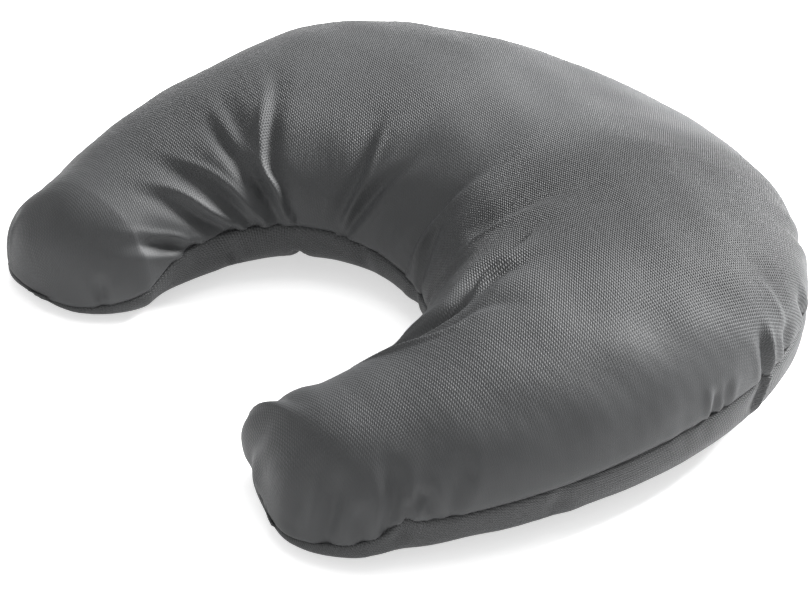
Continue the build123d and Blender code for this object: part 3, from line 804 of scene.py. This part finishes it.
def plain_weave(name, dark, light, pitch):
    """Plain woven cloth or tape: warp and weft that pass over and under each other."""
    g = Graph(name)
    cloth = g.cloth(wobble=pitch * MM * 0.4)
    x, y, _ = g.split(cloth)
    turn = math.pi / (pitch * MM)
    a = g.math("SINE", g.mul(x, turn))
    b = g.math("SINE", g.mul(y, turn))
    over = g.madd(g.mul(a, b), 0.5, 0.5)
    slow = g.noise(cloth, 30, 3)
    colour = g.mix(g.mul(over, g.madd(slow, 0.5, 0.75)), dark, light)
    g.set(Sheen_Weight=0.2, Specular_IOR_Level=0.2)
    return g.out(colour, g.madd(slow, 0.1, 0.75), g.bump(over, 0.5, pitch * MM * 0.3))


PLY = 0.9                 # length of one turn of a thread's plies


def twisted_thread(name, dark, light):
    """Sewing thread: plies that wind round the strand."""
    g = Graph(name)
    cloth = g.cloth()
    along, round_it, _ = g.split(cloth)
    wound = g.add(g.mul(along, 2 * math.pi / (PLY * MM)), g.mul(round_it, 4000.0))
    twist = g.madd(g.math("SINE", wound), 0.5, 0.5)
    fuzz = g.noise(cloth, 2500, 2)
    g.set(Sheen_Weight=0.2)
    return g.out(g.mix(twist, dark, light), g.madd(fuzz, 0.2, 0.55),
                 g.bump(g.madd(fuzz, 0.4, twist), 0.5, 0.0002))


def fibre_mass(name):
    """Loose polyester fibre: fine curled strands in clumps."""
    g = Graph(name)
    place_at = g.local()
    strands = {"Scale": 160, "Distortion": 18, "Detail": 4, "Vector": place_at}
    curls = g.node("ShaderNodeTexWave", strands, wave_type="BANDS")
    clumps = g.noise(place_at, 28, 4)
    fine = g.noise(place_at, 900, 3)
    height = g.add(g.madd(curls.outputs["Fac"], 0.4, clumps), fine)
    colour = g.mix(g.ramp(height, 0.6, 1.6), (0.72, 0.72, 0.71, 1), (0.9, 0.9, 0.89, 1))
    g.set(Sheen_Weight=0.5, Subsurface_Weight=0.1)
    return g.out(colour, g.madd(fine, 0.2, 0.75), g.bump(height, 0.7, 0.002))


def worn_metal(name, paint, bare, scale=1.0):
    """Dark painted metal with fine scratches and paint rubbed thin."""
    g = Graph(name)
    place_at = g.local()
    stretch = g.node("ShaderNodeMapping", {"Scale": (1.0, 1.0, 9.0), "Vector": place_at}).outputs[0]
    scratch = g.noise(stretch, 1500 * scale, 3, 0.7)
    blotch = g.noise(place_at, 320 * scale, 4)
    rubbed = g.mul(g.ramp(blotch, 0.58, 0.72), g.ramp(scratch, 0.45, 0.7))
    colour = g.mix(rubbed, paint, bare)
    g.set(Specular_IOR_Level=0.55)
    g.plug(g.mul(rubbed, 0.9), g.shader.inputs["Metallic"])
    return g.out(colour, g.madd(scratch, 0.25, 0.28), g.bump(scratch, 0.25, 0.0001))


def moulded_nylon(name, dark, light):
    """Smooth monofilament with faint flow marks."""
    g = Graph(name)
    place_at = g.local()
    flow = g.noise(place_at, 900, 3)
    g.set(Specular_IOR_Level=0.45)
    return g.out(g.mix(flow, dark, light), g.madd(flow, 0.2, 0.32),
                 g.bump(flow, 0.15, 0.0001))


def give(obj, material):
    obj.data.materials.clear()
    obj.data.materials.append(material)


# ---- the cover, the inner case and the filling ----
rows = Rows(481, 40)
COUNTS = {True: 132, False: 104}
CASE_INSET, CASE_LIFT, CASE_T = 15.0, 3.6, 0.6
FILL_INSET, FILL_LIFT = 20.6, 5.4


def declare(obj, material, node_names):
    """Give a piece that stands for CAD nodes its material, attach it to the pillow's body and hide those
    nodes.
    """
    give(obj, material)
    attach(obj, "pillow")
    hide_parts(*node_names)
    return obj


cotton = plain_weave("inner_case_cotton", (0.66, 0.66, 0.63, 1), (0.84, 0.84, 0.81, 1), 0.55)
buckles = simulated_rise()
filling_points, filling_faces = [], []
for upper, word in ((True, "top"), (False, "bottom")):
    grid, flat, moved = panel_grid(rows, COUNTS[upper], upper, buckles[upper])
    # Painted shade: the underside panel gets its own copy of the knit, with colours toned to the shade
    # under the pillow.
    knit = knit_material(f"cover_{word}_knit", *((0.014, 0.0605) if upper else (0.016, 0.05)))
    hemmed, flat_hemmed = with_hems(rows, grid, flat, upper)
    # The relief also paints the weave's colour contrast as light and shade.
    relief_and_painted_light = weave_strength_and_painted_light(rows, COUNTS[upper], upper)
    cover = grid_object("cover_" + word, hemmed, flat_hemmed, upper, CLOTH_T, relief_and_painted_light)
    declare(cover, knit, [f"cover_{word}_panel"])
    inner, inner_flat = inner_grid(rows, COUNTS[upper], upper, CASE_INSET, CASE_LIFT, moved)
    case = grid_object("inner_case_" + word, inner, inner_flat, upper, CASE_T)
    declare(case, cotton, [f"inner_case_{word}_panel"])
    fill_grid, _ = inner_grid(rows, COUNTS[upper], upper, FILL_INSET, FILL_LIFT, moved)
    filling_faces.append(grid_faces(fill_grid, upper) + sum(len(p) for p in filling_points))
    filling_points.append(fill_grid.reshape(-1, 3))
filling = link_mesh("filling_fibre", np.concatenate(filling_points), np.concatenate(filling_faces).tolist())
weld(filling)
declare(filling, fibre_mass("polyester_fibre"), ["filling"])


# ---- seam stitching: a thread that weaves up and down through the allowance, all round ----
THREAD_STEP, STITCH = 0.7, 3.2


def seam_path(inset, from_slot, swing=1.2):
    """Path from one end of the zip slot round both tips and the waist to its other end."""
    offset = np.maximum(rows.half - inset * rows.shrink, 0.02)
    outer = place(rows, offset[:, None], rows.seam_out[:, None], inset)[:, 0]
    inner = place(rows, -offset[:, None], rows.seam_in[:, None], inset)[:, 0]
    right = outer[rows.run > from_slot]
    left = outer[rows.run < -from_slot]
    whole = np.concatenate([right, inner[::-1], left])
    gone = np.concatenate([[0], np.cumsum(np.linalg.norm(np.diff(whole, axis=0), axis=1))])
    at = np.arange(0, gone[-1], THREAD_STEP)
    path = np.stack([np.interp(at, gone, whole[:, k]) for k in range(3)], -1)
    path[:, 2] += swing * np.cos(2 * math.pi * at / STITCH)
    return path


dark_thread = twisted_thread("cover_thread_dark", (0.006, 0.006, 0.007, 1), (0.02, 0.02, 0.022, 1))
white_thread = twisted_thread("case_thread_white", (0.6, 0.6, 0.58, 1), (0.85, 0.85, 0.83, 1))
COVER_INSET, SEWN_INSET = 3.2, 17.0       # the stitch lines of the cover and of the inner case
declare(tube("cover_seam_stitches", seam_path(COVER_INSET, SLOT_HALF_LENGTH + 2), 0.22), dark_thread,
        ["cover_seam_thread"])
declare(tube("inner_case_seam_stitches", seam_path(SEWN_INSET, 0.0, swing=0.8), 0.2), white_thread,
        ["inner_case_seam_thread"])


# ---- zip: wound coils, stitches through the tapes, and finishes for the pieces made in CAD ----
ZIP_RADIUS = OUTER_RADII[0]
ZIP_CENTRE_Y = BACK_Y - ZIP_RADIUS
TAPE_FACE = 7.0           # outer face of the tape, inside the edge
COIL_MIDDLE = 7.3
COIL_PITCH, COIL_FROM, COIL_TO = 1.35, -23.6, 25.4     # degrees from the middle of the zip's arc
PARTS_AT = 24.6           # where the slider's wedge parts the chain, in degrees
SEWN_TO = 26.5            # how far the stitch lines through the tape reach, in degrees
TAPE_STITCH = 3.0
TURN_STEPS, STITCH_STEPS = 12, 10         # points for each turn of a coil and for each stitch
PER_DEGREE = math.radians(1.0) * (ZIP_RADIUS - TAPE_FACE)


def zip_points(degrees_along, inside, height):
    """Points on the zip's arc: degrees from the middle, millimetres inside the edge and above the seam."""
    turn = np.radians(degrees_along)
    radius = ZIP_RADIUS - inside
    return np.stack([radius * np.sin(turn), ZIP_CENTRE_Y + radius * np.cos(turn), SLOT_Z + height], -1)


def wound_coil(side):
    """One side of the chain as a wound filament; it parts where the slider's wedge is."""
    turns = (COIL_TO - COIL_FROM) * PER_DEGREE / COIL_PITCH
    phase = np.linspace(0, turns, int(turns * TURN_STEPS)) + (0.5 if side < 0 else 0.0)
    deg = COIL_FROM + (phase - phase[0]) * COIL_PITCH / PER_DEGREE
    head = -0.3 + 2.3 * ease((deg - PARTS_AT) / 0.35)
    top = 2.75
    height = (top + head) / 2 + (top - head) / 2 * np.cos(2 * math.pi * phase)
    return zip_points(deg, COIL_MIDDLE + 0.72 * np.sin(2 * math.pi * phase), side * height)


def stitched_line(side):
    """Lockstitch through the hem and the tape."""
    turns = 2 * SEWN_TO * PER_DEGREE / TAPE_STITCH
    phase = np.linspace(0, turns, int(turns * STITCH_STEPS))
    deg = -SEWN_TO + phase * TAPE_STITCH / PER_DEGREE
    swing = np.clip(1.8 * np.cos(2 * math.pi * phase), -1, 1) * 0.95
    return zip_points(deg, 6.75 + swing, np.full_like(deg, side * 10.5))


nylon = moulded_nylon("zip_coil_nylon", (0.010, 0.010, 0.011, 1), (0.022, 0.022, 0.024, 1))
for side, word in ((1, "upper"), (-1, "lower")):
    declare(tube(f"zip_coil_{word}_wound", wound_coil(side), 0.3), nylon,
            [f"zip_coil_{word}"])
    declare(tube(f"zip_stitches_{word}", stitched_line(side), 0.2), dark_thread,
            [f"zip_stitching_{word}"])


def tape_weave():
    """Woven zip tape: fine herringbone ribs along the zip."""
    g = Graph("zip_tape_weave")
    x, _, z = g.split(g.local())
    rib = g.math("FRACT", g.mul(z, 900.0))
    lean = g.math("PINGPONG", z, 0.0011)
    cross = g.math("SINE", g.mul(g.add(x, lean), 9000.0))
    cross = g.madd(cross, 0.5, 0.5)
    height = g.mul(g.madd(rib, 0.5, 0.5), cross)
    g.set(Sheen_Weight=0.15, Specular_IOR_Level=0.25)
    return g.out(g.mix(height, grey(0.008), grey(0.03)), g.madd(cross, 0.1, 0.7),
                 g.bump(height, 0.6, 0.0003))


zip_tape = tape_weave()
painted = worn_metal("zip_dark_metal", grey(0.012), grey(0.3))
slider_paint = worn_metal("slider_dark_metal", grey(0.014), grey(0.35), 1.4)
tab_paint = worn_metal("pull_tab_dark_metal", grey(0.014), grey(0.38), 1.2)
tack_thread = plain_weave("bar_tack_thread", grey(0.008), grey(0.03), 0.35)
for node_name, material in (("zip_tape_upper", zip_tape), ("zip_tape_lower", zip_tape),
                            ("zip_top_stops", painted), ("zip_bottom_stop", painted),
                            ("zip_bar_tacks", tack_thread), ("zip_slider_body", slider_paint),
                            ("zip_slider_bridge", slider_paint), ("zip_pull_tab", tab_paint)):
    for material_slot in nodes[node_name].material_slots:
        material_slot.material = material

# ---- floor, light, camera ----
FLOOR = 12.0              # from the middle of the floor to its edges, in metres
floor_mesh = bpy.data.meshes.new("floor")
floor_mesh.from_pydata([(-FLOOR, -FLOOR, 0), (FLOOR, -FLOOR, 0), (FLOOR, FLOOR, 0), (-FLOOR, FLOOR, 0)],
                       [], [(0, 1, 2, 3)])
floor = bpy.data.objects.new("floor", floor_mesh)
scene.collection.objects.link(floor)
floor_graph = Graph("floor_white")
floor_graph.set(Base_Color=(0.78, 0.78, 0.78, 1), Roughness=0.9, Specular_IOR_Level=0.05,
                Emission_Color=(1, 1, 1, 1), Emission_Strength=0.55)
give(floor, floor_graph.material)

world = bpy.data.worlds.new("studio")
scene.world = world
world.use_nodes = True
background = world.node_tree.nodes["Background"].inputs
background[0].default_value, background[1].default_value = (1, 1, 1, 1), 0.66
scene.view_settings.view_transform = "Standard"


def area_light(name, at, towards, size, power):
    light = bpy.data.lights.new(name, "AREA")
    light.shape, light.size, light.energy = "DISK", size, power
    obj = bpy.data.objects.new(name, light)
    obj.location = at
    obj.rotation_mode = "QUATERNION"
    obj.rotation_quaternion = (Vector(towards) - Vector(at)).to_track_quat("-Z", "Y")
    scene.collection.objects.link(obj)


area_light("key_behind", (0.2, 2.1, 1.5), (0, 0.05, 0.08), 0.9, 256)
area_light("top_soft", (0.0, 0.3, 3.2), (0, 0, 0), 2.2, 38)
area_light("fill_front", (1.1, -2.3, 0.5), (0, 0, 0.08), 2.0, 11)

AZIMUTH, ELEVATION, ROLL = 53.5, 31.9, 0.46
DISTANCE, LENS = 1.654, 93.7
AIM = Vector((0, -0.0253, 0.0657))
OFF_RIGHT, OFF_DOWN = 0.0024, 0.0258      # where the frame's middle lies from the aim point


def make_camera():
    az, el, roll = (math.radians(v) for v in (AZIMUTH, ELEVATION, ROLL))
    back = Vector((math.sin(az) * math.cos(el), -math.cos(az) * math.cos(el), math.sin(el)))
    right = Vector((math.cos(az), math.sin(az), 0))
    up = back.cross(right)
    right, up = (right * math.cos(roll) + up * math.sin(roll), up * math.cos(roll) - right * math.sin(roll))
    forward = (-back + right * OFF_RIGHT - up * OFF_DOWN).normalized()
    right = forward.cross(up).normalized()
    up = right.cross(forward)
    data = bpy.data.cameras.new("camera")
    data.lens, data.sensor_width = LENS, 36
    data.clip_start, data.clip_end = 0.05, 30
    camera = bpy.data.objects.new("camera", data)
    scene.collection.objects.link(camera)
    turn = Matrix((right, up, -forward)).transposed()
    camera.matrix_world = Matrix.Translation(AIM + back * DISTANCE) @ turn.to_4x4()
    scene.camera = camera


make_camera()
